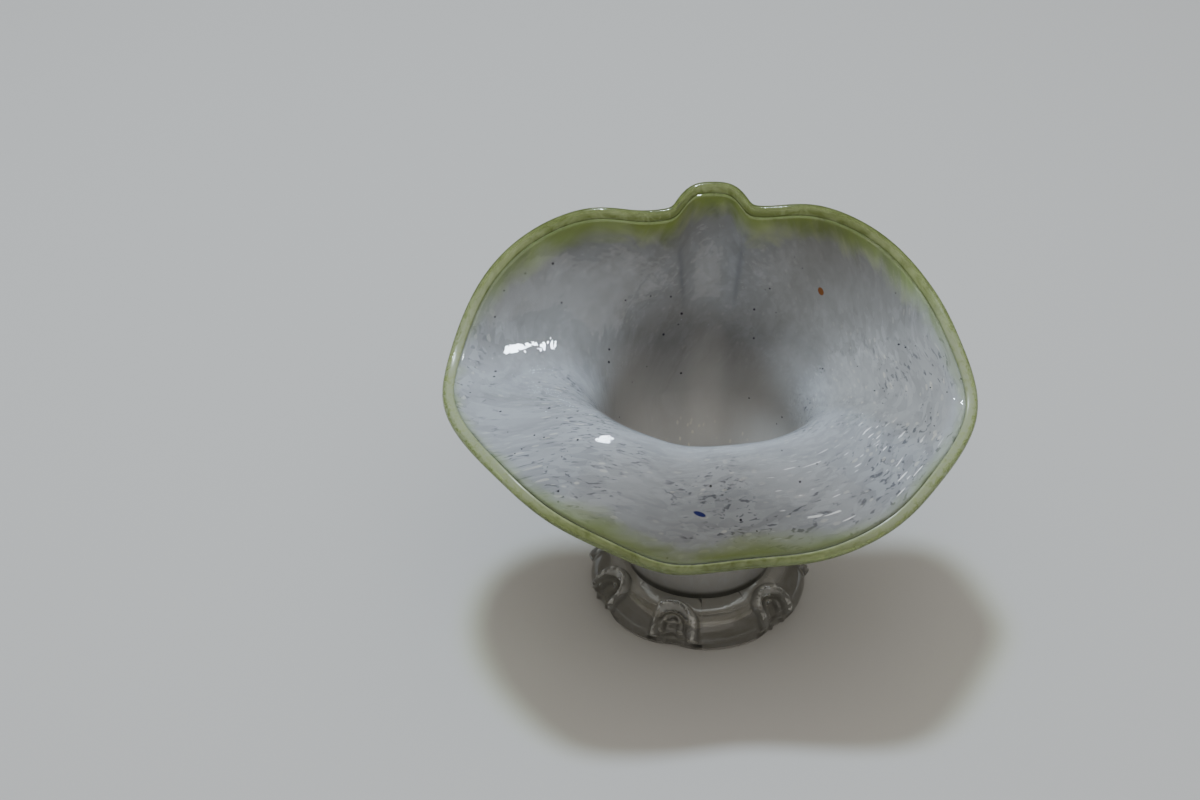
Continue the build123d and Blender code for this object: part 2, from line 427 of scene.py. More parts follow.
frit = {
    # depth in the wall: inside, outside by the lip, outside low down
    "depth": (0.5, 1.6, 3.5),
    "roughness": 0.5,
    "ior": 1.2,
    # whites
    "lowWhiteAndLight": (0.64, 0.645, 0.655),  # flakes low in the bowl, partly painted light for the glow of the milky glass
    "white": (0.395, 0.404, 0.424),  # on the flare
    "milk": (0.27, 0.277, 0.292),  # between the flakes
    "backShade": (0.17, 0.168, 0.168),  # painted shade between the flakes, on the back wall and under the throat
    # between the flakes low in the bowl, partly painted light for the glow of the milky glass
    "lowMilkAndLight": (0.60, 0.58, 0.555),
    "cream": (0.78, 0.75, 0.66),
    # painted highlight: slender white glints near the lip at the front right
    "paintedGlint": (0.92, 0.92, 0.92),
    # greys and the lip's green
    "vein": (0.08, 0.085, 0.105),
    "speck": (0.02, 0.018, 0.03),
    "under": (0.19, 0.19, 0.175),  # low outside, behind the foot
    "wash": (0.34, 0.385, 0.26),  # under the green, thin and thick
    "backWash": (0.34, 0.38, 0.19),
    # repeats to a metre
    "bendScale": 60,
    "flakeScale": 430,
    "chipScale": 780,
    "cloudScale": 38,
    "patchScale": 170,
    "streakScale": 480,
    "threadScale": 950,
    "glintScale": 330,
    "speckScale": 300,
    "speckCloudScale": 28,
    "runScale": 110,
    "edgeScale": 210,
    # strengths
    "bend": 0.004,  # metres
    "flakes": 0.8,
    "streaks": 0.4,
    "chips": 0.55,
    "veins": 0.75,
    # how dark the painted shade in the spout's creases is
    "creaseShadeStrength": 0.4,
    "calmFlakes": 0.88,  # how much plainer calm parts are
    "calmPatches": 0.7,
    "calmOutside": 0.65,  # and how much less so the outside
    "plainOutside": 0.25,
    "glintThinness": 3.2,
    # millimetres from the lip, and metres of height
    "lowDown": (45, 90),
    "edgeFade": (-2, 0.6),
    "creamHeight": (0.056, 0.046),
    "underHeight": (0.0175, 0.0150),
    # single flecks: along, round, half length, half width, colour
    "flecks": [
        (2.81, -3.5, 2.3, 0.42, (0.012, 0.018, 0.15)),
        (2.62, 132, 1.3, 0.9, (0.16, 0.06, 0.02)),
    ],
    "fleckDepth": 2.5,
}


def fleckMask(tree, place, along, angle, length, width):
    # 1 inside an ellipse that lies round the bowl at one place, 0 outside: the length of the way to its
    # middle, turned to face it and divided by its half sizes
    centre = insideOfBowl(along, angle) * metre
    away = vectorMaths("SUBTRACT", place, tuple(centre))
    turn = {"rotation_type": "Z_AXIS"}
    turned = makeNode(tree, "ShaderNodeVectorRotate", turn, Vector=away, Angle=math.radians(-angle))
    scale = tuple(1 / (size * metre) for size in (length, width, frit["fleckDepth"]))
    scaled = vectorMaths("MULTIPLY", turned["Vector"], scale)
    return vectorMaths("LENGTH", scaled, output="Value").ramp(1.1, 0.9)


def fritWhites(tree, drift, clouds, calm, outside, fromLip, deepDown):
    # how white each point is: soft patches, plus flakes, streaks and chips where clouds make it busy. Then
    # grey marks, thin threads kept to some chips, and chips of cream.
    each, _ = cells(tree, drift, frit["flakeScale"])
    chip, fromChip = cells(tree, drift, frit["chipScale"])
    patches = noise(drift, frit["patchScale"], 3, 0.6)["Fac"]
    streaks = noise(drift, frit["streakScale"], 3, 0.6, 0.5)["Fac"]
    # lighter low in the bowl, inside and out: partly whiter glass, partly painted light
    low = fromLip.ramp(*frit["lowDown"])
    paper = colourMix(low, frit["white"], frit["lowWhiteAndLight"])
    # painted shade: darker between the flakes where the inside is calm
    milk = colourMix(calm * (1 - outside), frit["milk"], frit["backShade"])
    milk = colourMix(low, milk, frit["lowMilkAndLight"])
    busy = clouds.ramp(0.40, 0.58, 0.35, 1)
    busy = busy * (1 - calm * frit["calmFlakes"]) * (1 - outside * frit["plainOutside"])
    whiteness = patches.ramp(0.36, 0.62, 0.45, 0.85) * (1 - calm * frit["calmPatches"])
    whiteness = whiteness + (each["Red"] - 0.5) * frit["flakes"] * busy
    whiteness = whiteness + (streaks - 0.5) * frit["streaks"] * busy
    whiteness = whiteness + chip["Red"].ramp(0.76, 0.79) * frit["chips"] * busy
    colour = colourMix(whiteness.clipped(), milk, paper)

    threads = noise(drift, frit["threadScale"], 2, 0.5, 0.4)["Fac"]
    marks = threads.ramp(0.44, 0.38) * chip["Blue"].ramp(0.4, 0.5) * clouds.ramp(0.46, 0.53)
    marks = marks * (1 - calm) * (1 - outside)
    colour = colourMix(marks.clipped() * frit["veins"], colour, frit["vein"])
    creamy = chip["Green"].ramp(0.88, 0.90) * fromChip.ramp(0.42, 0.34) * (busy * 0.4 + deepDown * 0.9)
    return colour, creamy


def fritSpecks(tree, place):
    # dark specks: round a random cell's middle where its chance comes up, more often in some clouds
    chance, fromSpeck = cells(tree, place, frit["speckScale"])
    size = chance["Red"].ramp(0, 1, 0.05, 0.15)
    many = noise(place, frit["speckCloudScale"], 2)["Fac"].ramp(0.4, 0.6, 0.06, 0.5)
    return (size - fromSpeck).ramp(-0.02, 0.03) * (many - chance["Blue"]).ramp(0, 0.01)


def opalFrit():
    # white flakes drawn out along the swirl, in clouds, with grey marks between them and dark specks
    material, tree = newMaterial("opalFrit")
    place, height = objectPlace(tree)
    flow, fromLip, outside, calm = carried(tree, "flow", "fromLip", "outside", "calm")
    paintedGlintZone, creaseShade, thickAndShade, greenness = carried(tree, "paintedGlintZone", "creaseShade", "thickAndShade", "greenness")
    calm = calm * (1 - outside * frit["calmOutside"])
    bend = noise(place, frit["bendScale"], 2)["Color"]
    drift = vectorMaths("MULTIPLY_ADD", bend, (frit["bend"],) * 3, flow)
    clouds = noise(place, frit["cloudScale"], 3, 0.55)["Fac"]
    deepDown = height.ramp(*frit["creamHeight"]) * (1 - outside)
    colour, creamy = fritWhites(tree, drift, clouds, calm, outside, fromLip, deepDown)

    # painted highlights as slender glints along the lip, painted shade in the creases beside the spout,
    # cream chips and specks
    thin = vectorMaths("MULTIPLY", flow, (1, 1, frit["glintThinness"]))
    paintedGlints = noise(thin, frit["glintScale"], 1, 0.5)["Fac"].ramp(0.685, 0.705)
    colour = colourMix(paintedGlints * paintedGlintZone, colour, frit["paintedGlint"])
    colour = colourMix(creaseShade * frit["creaseShadeStrength"], colour, frit["vein"])
    colour = colourMix(creamy, colour, frit["cream"])
    colour = colourMix(fritSpecks(tree, place), colour, frit["speck"])
    colour = colourMix(height.ramp(*frit["underHeight"]) * outside, colour, frit["under"])

    # the lip's green, run down in ragged tongues, and the single flecks over it all
    wash = colourMix(thickAndShade.ramp(0.3, 0.8), frit["wash"], frit["backWash"])
    tongues = noise(flow, frit["runScale"], 3, 0.6, 0.8)["Fac"].ramp(0.3, 0.7, -0.35, 0.35)
    runs = (greenness + tongues).ramp(0, 0.9)
    colour = colourMix(runs, colour, wash)
    for along, angle, length, width, shade in frit["flecks"]:
        mask = fleckMask(tree, place, along, angle, length, width)
        colour = colourMix(mask, colour, shade)

    ragged = noise(drift, frit["edgeScale"], 3, 0.6)["Fac"].ramp(0.3, 0.7, -1.2, 1.2)
    cover = (fromLip + ragged).ramp(*frit["edgeFade"], kind="SMOOTHSTEP")
    body = surface(tree, Base_Color=colour, Roughness=frit["roughness"], IOR=frit["ior"])
    finishMaterial(tree, shaderMix(cover, clearShader(tree, (1, 1, 1)), body))
    return material


glassKinds = {
    # tint, tint of lamp light through it, roughness, metres of ripple, and clearness
    "casing": {
        "tint": (0.97, 0.98, 0.975), "lamp": (0.985, 0.985, 0.98),
        "roughness": 0.02, "ripple": 0.0006, "clear": 1.0,
    },
    "foot": {
        "tint": (0.93, 0.92, 0.89), "lamp": (0.93, 0.93, 0.92),
        "roughness": 0.01, "ripple": 0.0003, "clear": 0.85,
    },
    "green": {
        "tint": (0.47, 0.56, 0.20), "lamp": (0.86, 0.90, 0.72),
        "roughness": 0.015, "ripple": 0.0003, "clear": 0.85,
    },
    "ior": 1.5,
    "rippleStrength": 0.6,
}


def glassShader(tree, tint, kind, height, lampTint, share, over=None):
    # clear glass with a tool-rippled surface; over is a second shader and how much of it shows
    normal = makeNode(
        tree,
        "ShaderNodeBump",
        Strength=glassKinds["rippleStrength"],
        Distance=kind["ripple"],
        Height=height,
    )["Normal"]
    glass = surface(
        tree,
        Base_Color=tint,
        Roughness=kind["roughness"],
        IOR=glassKinds["ior"],
        Transmission_Weight=kind["clear"],
        Normal=normal,
    )
    if over:
        glass = shaderMix(over[1], glass, over[0])
    finishMaterial(tree, letLampsThrough(tree, glass, (kind["lamp"], lampTint), share))


def cloudyGlass(tree, colour, roughness):
    # glass that light doesn't pass
    return surface(tree, Base_Color=colour, Roughness=roughness, IOR=glassKinds["ior"])


wallFinish = {
    "thinStain": (0.72, 0.79, 0.54),  # run-down green, thin and thick
    "thickStain": (0.50, 0.58, 0.25),
    "stainScale": 130,
    "dappleScale": 300,
    # tint of the glossless shader that hides the key lamp's glint
    "glintHiddenTint": (0.94, 0.95, 0.945),
}


def wallGlass():
    # clear glass that takes on the lip's green near the edge, in ragged swirls, over long low ripples.
    # On the right-hand wing it is mixed with a shader that has no gloss, which hides the key lamp's glint
    # there.
    kind = glassKinds["casing"]
    material, tree = newMaterial("wallGlass")
    flow, thickAndShade, greenness, glintHidden = carried(tree, "flow", "thickAndShade", "greenness", "glintHidden")
    swirls = noise(flow, wallFinish["stainScale"], 3, 0.6, 0.8)["Fac"].ramp(0.3, 0.7, -0.4, 0.4)
    stain = (greenness + swirls).ramp(0, 1.0, 0, 1, "SMOOTHSTEP")
    green = colourMix(thickAndShade.ramp(0.3, 0.8), wallFinish["thinStain"], wallFinish["thickStain"])
    tint = colourMix(stain, kind["tint"], green)
    dapple = noise(flow, wallFinish["dappleScale"], 2, 0.5, 0.3)["Fac"]
    over = (clearShader(tree, wallFinish["glintHiddenTint"]), glintHidden * (1 - stain))
    glassShader(tree, tint, kind, dapple, glassKinds["green"]["lamp"], stain, over)
    return material


lipFinish = {
    "deep": (0.26, 0.33, 0.085),  # tint where the green lies thick, and as painted shade at the front
    "thinCloud": (0.33, 0.39, 0.19),  # its cloudy share, thin and thick
    "thickCloud": (0.14, 0.175, 0.05),
    "milk": (0.33, 0.38, 0.24),  # white frit caught in it at the sides
    "threadScale": 170,
    "curdScale": 330,
    "cloudRoughness": 0.25,
    "cloudShare": 0.3,
    "milkShare": 0.4,
    "innerShare": 0.55,  # more of it along the inner edge
}


def greenGlass():
    # the wrap's green, deeper at the back where it lies thick and at the front as painted shade, with dark
    # threads along it and curds of white where it is thin
    kind = glassKinds["green"]
    material, tree = newMaterial("greenGlass")
    flow, thickAndShade, within = carried(tree, "flow", "thickAndShade", "within")
    threads = noise(flow, lipFinish["threadScale"], 3, 0.6, 1.0)["Fac"]
    deep = (thickAndShade + threads.ramp(0.35, 0.7, -0.3, 0.45)).clipped()
    tint = colourMix(deep, kind["tint"], lipFinish["deep"])
    curds = noise(flow, lipFinish["curdScale"], 3, 0.6, 1.0)["Fac"].ramp(0.38, 0.62, -0.7, 0.5)
    milky = (within + curds).clipped() * thickAndShade.ramp(0.4, 0.15)
    paint = colourMix(deep, lipFinish["thinCloud"], lipFinish["thickCloud"])
    paint = colourMix(milky, paint, lipFinish["milk"])
    cover = milky * lipFinish["milkShare"] + lipFinish["cloudShare"]
    cover = (cover + within.ramp(0.8, 1, 0, lipFinish["innerShare"])).clipped()
    over = (cloudyGlass(tree, paint, lipFinish["cloudRoughness"]), cover)
    glassShader(tree, tint, kind, threads, kind["lamp"], 0.5, over)
    return material


footFinish = {
    "cast": (0.72, 0.70, 0.63),
    # painted highlight on the crests of the folds, and painted shade in their creases
    "crestHighlight": (0.97, 0.97, 0.96),
    "creaseShade": (0.30, 0.29, 0.27),
    "glintSilver": (0.68, 0.68, 0.67),  # painted glints: threads over the folds
    "cloud": (0.33, 0.32, 0.295),
    "cloudRoughness": 0.15,
    "rippleScale": 150,
    "castScale": 110,
    "threadScale": 420,
    "crestHighlightShare": 0.8,
    "creaseShadeShare": 0.5,
    "glintThreadShare": 0.75,
    "rimHeight": (0.0022, 0.0012),  # where it turns cloudy, and how much
    "rimShare": 0.85,
    "ledgeHeight": (0.0125, 0.0140),
    "ledgeShare": 0.5,
}


def footGlass():
    # heavier clear glass with a grey-brown cast, with painted shade in the creases of its folds and painted
    # highlights on their crests. The rim it stands on and the ledge by the wall are cloudy, and painted
    # glints lie as silvery threads over the folds.
    kind, finish = glassKinds["foot"], footFinish
    material, tree = newMaterial("footGlass")
    place, height = objectPlace(tree)
    creaseShade, crestHighlight = carried(tree, "creaseShade", "crestHighlight")
    wobble = noise(place, finish["rippleScale"], 2, 0.5, 0.8)["Fac"]
    shade = noise(place, finish["castScale"], 3, 0.6, 1.2)["Fac"]
    tint = colourMix(shade.ramp(0.38, 0.62), finish["cast"], kind["tint"])
    # painted highlight on the crests, painted shade in the creases
    tint = colourMix(crestHighlight * finish["crestHighlightShare"], tint, finish["crestHighlight"])
    tint = colourMix(creaseShade * finish["creaseShadeShare"], tint, finish["creaseShade"])
    ledge = height.ramp(*finish["ledgeHeight"]) * (1 - crestHighlight)
    rim = height.ramp(*finish["rimHeight"])
    cloudy = (rim * finish["rimShare"] + ledge * finish["ledgeShare"]).clipped()
    paint = colourMix(cloudy, finish["glintSilver"], finish["cloud"])
    # painted glints: silvery threads over the crests
    threads = noise(place, finish["threadScale"], 2, 0.6, 0.6)["Fac"].ramp(0.48, 0.6) * crestHighlight
    skin = cloudyGlass(tree, paint, finish["cloudRoughness"])
    over = (skin, (threads * finish["glintThreadShare"] + cloudy).clipped())
    glassShader(tree, tint, kind, wobble, kind["lamp"], 0.5, over)
    return material


def glassJoint():
    # where two pieces of one melted glass meet there is no surface to see
    material, tree = newMaterial("glassJoint")
    finishMaterial(tree, clearShader(tree, (1, 1, 1)))
    return material


def ringAngles(count):
    # even angles round the bowl, from 0
    return np.arange(count) * 360 / count


swirl = {
    "turn": 50,  # degrees the streaks wind on between the throat and the lip
    "down": (34, 40),  # pattern's radius and rise where flakes lie down to the throat
    "round": (24, 82),  # and where they run round it, from the front to the right
    "below": (34, 20),  # and below the throat
    "lean": 26,  # how much the streaks lean at the front and the right
}


def flowPattern(along, angle):
    # a seamless place in the glass for patterns: round the bowl on a circle, and up it by along. Where the
    # circle is wide and the rise small, streaks run up and down; where it is narrow and the rise large,
    # they run round. Past the throat the circle turns on.
    turned = eitherWay(angle)
    above = smooth((along - 1.85) / 0.35)
    sideways = smooth((turned + 80) / 45) * smooth((150 - turned) / 45)
    lean = swirl["lean"] * smooth((turned + 100) / 90) * smooth((170 - turned) / 70) * above
    circle, rise = [
        below + (down + (across - down) * sideways - below) * above
        for below, down, across in zip(swirl["below"], swirl["down"], swirl["round"])
    ]
    circle = circle * smooth((along + 0.1) / 0.9)
    twist = angle + swirl["turn"] * (1 - np.exp(-np.clip(along - 1.95, 0, 1.05) / 0.45))
    return roundTheAxis(circle, twist, rise * (along - 2.4) + lean) * metre


def lipGap(along, angle):
    # millimetres along the wall from a point to its edge: the sum of short chords
    steps = np.linspace(0, 1, 24)[:, None, None]
    path = insideOfBowl(along + (3 - along) * steps, angle)
    return np.linalg.norm(np.diff(path, axis=0), axis=-1).sum(0)


def spoutCreaseShade(along, angle):
    # painted shade: 1 down each side of the spout's groove, where the wall turns into it: a bell curve
    # across
    middle = spout["halfWidth"] + spout["creaseOut"]
    side = bell(np.abs(spoutArc(angle)) - middle, spout["creaseWidth"])
    return side * fade(along, *spout["creaseFrom"]) * fade(along, *spout["creaseTo"])


greenLie = {
    "least": 0.05,  # at the sides
    "front": (0.5, 42),  # more at the front, over degrees: painted shade, where the hanging lip is darker
    "back": (0.7, 68),
    "spout": (0.3, 17, 7),  # each turn of the spout, and how far out
    "reach": (3.2, 9.2),  # how far it runs down, thin and thick
    "thickFrom": 0.6,
    "strength": (0.45, 1),
}


def wrapThicknessAndShade(angle):
    # how thick the green lies, with painted shade at the front: a sum of flat-topped bell curves over the
    # front, the back and the spout
    away = eitherWay(angle - spout["angle"])
    front = 180 - np.abs(away)
    more, width = greenLie["back"]
    turnMore, turn, turnWidth = greenLie["spout"]
    back = more * bell(away, width, 4) + turnMore * bell(np.abs(away) - turn, turnWidth)
    more, width = greenLie["front"]
    return greenLie["least"] + more * bell(front, width, 4) + back


# where zones of the wall start, and the distance they come in over, negative where they end: first in
# degrees from the front, and last along the wall
wallZones = {
    "calm": ((92, 28), (2.2, -0.25)),  # few flakes, with painted shade inside: the back, and under the throat
    "paintedGlintZone": ((12, 15), (80, -15), (2.55, 0.15)),  # painted highlights: slender glints at the front right, near the lip
    "glintHidden": ((62, 14), (160, -20), (2.2, 0.2), (2.97, -0.06)),  # no gloss on the right-hand wing, hiding the key lamp's glint there
}


def wallRows(alongs, depths, angle):
    # rings of points for a list of places along and into the wall, and what their patterns need: the
    # place in the swirl, millimetres to the lip, the green, and where each zone lies
    alongs, depths = np.array(alongs, float)[:, None], np.array(depths, float)[:, None]
    angle = angle[None, :]
    points = wallPoints(alongs, angle, depths + 0 * angle)
    gap = lipGap(alongs, angle)
    turned = eitherWay(angle)
    share = smooth(wrapThicknessAndShade(angle) / greenLie["thickFrom"])
    least, most = greenLie["reach"]
    weak, strong = greenLie["strength"]
    greenness = (1 - gap / (least + (most - least) * share)) * (weak + (strong - weak) * share)
    calmRound, calmUnder = wallZones["calm"]
    sheenStart, sheenEnd, sheenUp = wallZones["paintedGlintZone"]
    dullStart, dullEnd, dullUp, dullTop = wallZones["glintHidden"]
    numbers = {
        "fromLip": gap,
        "greenness": greenness,
        "thickAndShade": wrapThicknessAndShade(angle) + 0 * gap,
        "paintedGlintZone": fade(turned, *sheenStart) * fade(turned, *sheenEnd) * fade(alongs, *sheenUp),
        "creaseShade": spoutCreaseShade(alongs, angle),
        "calm": np.maximum(fade(np.abs(turned), *calmRound), fade(alongs, *calmUnder)),
        "glintHidden": fade(turned, *dullStart) * fade(turned, *dullEnd)
        * fade(alongs, *dullUp) * fade(alongs, *dullTop),
    }
    extras = {key: values[..., None] for key, values in numbers.items()}
    extras["flow"] = flowPattern(alongs, angle)
    return points, extras


# how many steps each part of the wall has, and how near a step may come to the first and the last
spacing = {"floor": 12, "wall": 14, "flare": 60, "first": 0.01, "last": 0.005}


def alongSteps(start, end):
    # even steps on the floor and the wall, and finer ones on the flare
    steps = np.concatenate(
        [
            np.linspace(0, 1, spacing["floor"], endpoint=False),
            np.linspace(1, 2, spacing["wall"], endpoint=False),
            np.linspace(2, 3, spacing["flare"] + 1),
        ]
    )
    steps = steps[(steps > start + spacing["first"]) & (steps < end - spacing["last"])]
    return np.concatenate([[start], steps, [end]])


def turnedOver(extras):
    # the same numbers, with the last ring first
    return {key: values[::-1] for key, values in extras.items()}


layers = {
    "start": 0.05,  # first ring beside the axis
    "whiteEnd": 2.994,  # the white's last rings
    "whiteEdge": 2.997,
    "thinning": (1.2, 1.2),  # where the white's outside thins out
    "thinUnder": 0.5,  # and under the floor
    "outsideStart": 0.88,  # where the casing's outside begins
    "sideSteps": 12,
}


def opalLining():
    # a closed layer: inside it lies just under the bowl's surface, and outside it is thicker low down
    angle = ringAngles(bowl["around"])
    inner = alongSteps(layers["start"], layers["whiteEnd"])
    outer = inner[::-1]
    inside, nearLip, lowDown = frit["depth"]
    (start, over), under = layers["thinning"], layers["thinUnder"]
    outerDepth = lowDown + (nearLip - lowDown) * smooth((outer - start) / over)
    outerDepth = np.where(outer < under, nearLip + (outerDepth - nearLip) * outer / under, outerDepth)
    alongs = np.concatenate([inner, [layers["whiteEdge"]], outer])
    depths = np.concatenate([np.full(len(inner), inside), [(inside + nearLip) / 2], outerDepth])
    points, extras = wallRows(alongs, depths, angle)
    beyond = np.where(np.arange(len(alongs)) > len(inner), 1.0, 0.0)
    extras["outside"] = beyond[:, None, None] + 0 * extras["fromLip"]
    mesh = gridMesh("opal_lining_glass", points[::-1], False, True, True, turnedOver(extras))
    return placePiece("opal_lining_glass", mesh, [opalFrit()], "opal", "opal_lining")


def casingSide(t):
    # the casing's outside between its heel and the wall, as radius and height: one Bezier
    return np.stack([bezier(*[corner[k] for corner in bowl["side"]], t) for k in (0, 1)], -1)


def revolve(profile, angle):
    # a profile of radii and heights carried round the axis
    profile = np.asarray(profile, float)
    return roundTheAxis(profile[:, :1], angle, profile[:, 1:])


def clearWall(jointMaterial):
    # the whole wall, inside and outside; the outside runs down a round side to the base
    angle = ringAngles(bowl["around"])
    inner = alongSteps(layers["start"], 3)
    outer = inner[inner > layers["outsideStart"]][::-1]
    alongs = np.concatenate([inner, outer])
    depths = np.concatenate([np.zeros(len(inner)), np.full(len(outer), bowl["wall"])])
    points, extras = wallRows(alongs, depths, angle)
    side = casingSide(np.linspace(1, 0, layers["sideSteps"]))
    lower = np.vstack([side, bowl["base"][-2::-1]])
    points = np.concatenate([points, revolve(lower, angle)])
    for key, values in extras.items():
        extras[key] = np.concatenate([values, np.repeat(values[-1:], len(lower), axis=0)])
    mesh = gridMesh("clear_wall", points[::-1], False, True, True, turnedOver(extras))
    # faces between the wall and the lip's wrap, and those the foot is melted to, are joints
    index = np.zeros((len(points) - 1, bowl["around"]), np.int32)
    index[len(inner) - 1] = 1
    heights, rows = points[:, 0, 2], np.arange(len(points) - 1)
    heel, seam, slack = bowl["base"][-1][1], collar["outline"][-1][1], 0.1
    held = (rows >= len(alongs)) & (heights[:-1] < seam + slack) & (heights[1:] > heel - slack)
    index[held] = 1
    poles = np.zeros(2 * bowl["around"], np.int32)
    markJoints(mesh, np.concatenate([index[::-1].ravel(), poles]))
    return placePiece("clear_wall", mesh, [wallGlass(), jointMaterial], "clear", "clear_casing")


lipShape = {
    "steps": 17,  # points across the bead
    "circle": 90,  # its pattern's radius, and rise per degree
    "rise": 0.11,
    "within": (110, 90),  # degrees across where its inner edge ends
}


def lipWrap(jointMaterial):
    # a bead on the wall's edge: half an ellipse from the inside edge to the outside edge
    angle = ringAngles(bowl["around"])
    edge = insideOfBowl(3, angle)
    into, towards = wallFrame(3, angle)
    middle = edge + into * bowl["wall"] / 2
    turns = np.linspace(0, 180, lipShape["steps"])
    half = bowl["wall"] / 2 + bowl["lipSwell"] * sine(turns) ** 2
    across, ahead = -half * cosine(turns), bowl["lipDepth"] * sine(turns)
    points = middle + across[:, None, None] * into + ahead[:, None, None] * towards
    flow = roundTheAxis(lipShape["circle"], angle, 0)[None] * metre
    flow = flow + np.array([0, 0, 1]) * (turns[:, None, None] * lipShape["rise"] * metre)
    thickAndShade = wrapThicknessAndShade(angle)[None, :, None] + 0 * flow[..., :1]
    end, over = lipShape["within"]
    within = smooth((end - turns) / over)[::-1, None, None] + 0 * thickAndShade
    extras = {"flow": flow[::-1], "thickAndShade": thickAndShade, "within": within}
    mesh = gridMesh("green_lip", points[::-1], closedRows=True, attributes=extras)
    index = np.zeros(len(mesh.polygons), np.int32)
    index[-bowl["around"]:] = 1
    markJoints(mesh, index)
    return placePiece("green_lip", mesh, [greenGlass(), jointMaterial], "green", "green_lip_wrap")


collar = {
    # radius and height: out under the foot, up its face and in to the casing
    "outline": [
        (24.5, 4.5), (24.1, 2.4), (24.5, 0.6), (26, 0),
        (36.8, 0), (38.6, 0.7), (39.5, 2.6), (39.6, 5),
        (38, 8.5), (34.6, 11.8), (31, 13.8), (28.9, 14.45),
        (27.6, 14.6), (26.62, 14.61),
    ],
    "outlineSteps": 8,  # between each two of those
    "seamAt": 0.57,  # where the outline ends on the casing
    "sideSteps": 16,
    "around": 720,  # points in a ring
    "crimps": (-64, -15, 45, 98, 150, 203, 250),
    "notch": 1.6,  # depth of a nip, and degrees to a side
    "notchWidth": 9,
    "notchFrom": (27, 8),  # the radius it starts at
    "faceFrom": (38.6, 0.7),  # the outer face starts here, and ends at the seam
}


def nip(angle):
    # how near each angle is to a crimp: a sum of bell curves
    return sum(bell(eitherWay(angle - crimp), collar["notchWidth"]) for crimp in collar["crimps"])


def smoothOutline(points, count):
    # a Catmull-Rom curve through given points, as even steps between each pair
    points = np.array(points, float)
    padded = np.vstack([2 * points[0] - points[1], points, 2 * points[-1] - points[-2]])
    t = np.linspace(0, 1, count, endpoint=False)[:, None]
    spans = [
        0.5 * (2 * b + (c - a) * t + (2 * a - 5 * b + 4 * c - d) * t**2 + (3 * b - a - 3 * c + d) * t**3)
        for a, b, c, d in zip(padded, padded[1:], padded[2:], padded[3:])
    ]
    return np.vstack(spans + [points[-1:]])


def collarSurface():
    # the outline carried round the axis and nipped in at each crimp, with its outward directions, how
    # far up the outer face each ring is, and each point's radius
    angle = ringAngles(collar["around"])
    outline = smoothOutline(collar["outline"], collar["outlineSteps"])
    outline[:, 1] = np.maximum(outline[:, 1], 0)
    start, over = collar["notchFrom"]
    inset = smooth((outline[:, :1] - start) / over) * collar["notch"] * nip(angle)[None, :]
    radius = outline[:, :1] - inset
    points = roundTheAxis(radius, angle, outline[:, 1:])
    tangent = unit(np.gradient(outline, axis=0))
    normals = roundTheAxis(tangent[:, 1:], angle, -tangent[:, :1])
    lengths = np.concatenate([[0], np.cumsum(np.linalg.norm(np.diff(outline, axis=0), axis=1))])
    start = np.argmin(np.linalg.norm(outline - np.array(collar["faceFrom"]), axis=1))
    return angle, points, normals, lengths - lengths[start], radius


crimpShape = {
    "halfWidth": 15,  # degrees each side that a crimp's patch covers
    "edge": (4, 1.5),  # its folds fade over these degrees and millimetres
    # two arches, one in the other: radius, height up the face, ridge height, half width, and foot
    "arch": (6.8, 9.8, 2.6, 2.3, 3.6),
    "inner": (3.1, 9.2, 1.7, 1.2, 5.5),
    "aside": 0.4,  # how far the inner one stands to the side
    "swell": (0.35, 9, 8),  # how much higher its top is, from and over
    "hollow": (10.5, 2.8, 1.2),  # height up the face, half width and depth
    "folds": (3.2, 5.2, 1.3, 0.9),  # side step, top, ridge height and half width
    # how each differs: lean, size, and its wave's size and pace
    "lean": 0.16,
    "grow": 0.08,
    "wave": (0.35, 0.8),
    "steep": 1.6,  # the slope where the painted crease shade is full
    "tall": 1.2,  # height where the painted crest highlight begins
}


def rod(away, width):
    # the height of a half-round rod: sqrt(1 - (away / width)^2), softened where it meets the face
    return np.sqrt(np.clip(1 - (away / width) ** 2, 0, 1)) * 0.75 + 0.25 * np.exp(-((away / width) ** 2))


def archRidge(s, t, radius, centre, height, width, foot):
    # a raised arch: a rod over the distance from a half circle standing on two legs
    away = np.hypot(s, np.maximum(t - centre, 0)) - radius
    return height * rod(away, width) * smooth((t - foot) / 2.5)


def crimpRelief(s, t, number):
    # folds of one crimp over its patch: s across in millimetres, t up the face. Each crimp leans and
    # grows a little differently, by a few sines of its number.
    lean = crimpShape["lean"] * math.sin(2.1 * number)
    grow = 1 + crimpShape["grow"] * math.sin(3.7 * number)
    shift = math.sin(5.3 * number)
    size, pace = crimpShape["wave"]
    s = (s - shift - lean * (t - 8) + size * np.sin(pace * t + number)) / grow
    more, start, over = crimpShape["swell"]
    relief = archRidge(s, t, *crimpShape["arch"]) * (1 + more * smooth((t - start) / over))
    relief = relief + archRidge(s + crimpShape["aside"], t, *crimpShape["inner"])
    up, width, depth = crimpShape["hollow"]
    relief = relief - depth * np.exp(-((s / width) ** 2) - ((t - up) / width) ** 2)
    step, top, height, fine = crimpShape["folds"]
    legs = rod(np.abs(s) - step, fine) * smooth((t - 1) / 1.5) * smooth((top + 0.6 - t) / 1)
    bar = rod(t - top + 0.2 * np.abs(s), fine) * smooth((step + 0.8 - np.abs(s)) / 0.8)
    return relief + height * np.maximum(legs, bar)


def creaseShadeAndCrestHighlight(relief, across, up):
    # painted shade lies in the creases, where the folds are steep, and a painted highlight on the crests,
    # where they are high and level
    steep, tall = crimpShape["steep"], crimpShape["tall"]
    steepness = np.hypot(
        np.gradient(relief, axis=0) / np.gradient(up, axis=0),
        np.gradient(relief, axis=1) / np.gradient(across, axis=1),
    )
    return {
        "creaseShade": smooth(steepness / steep) * smooth(steep - np.maximum(relief, 0) / tall),
        "crestHighlight": smooth((relief - tall) / tall) * smooth(tall - steepness),
    }


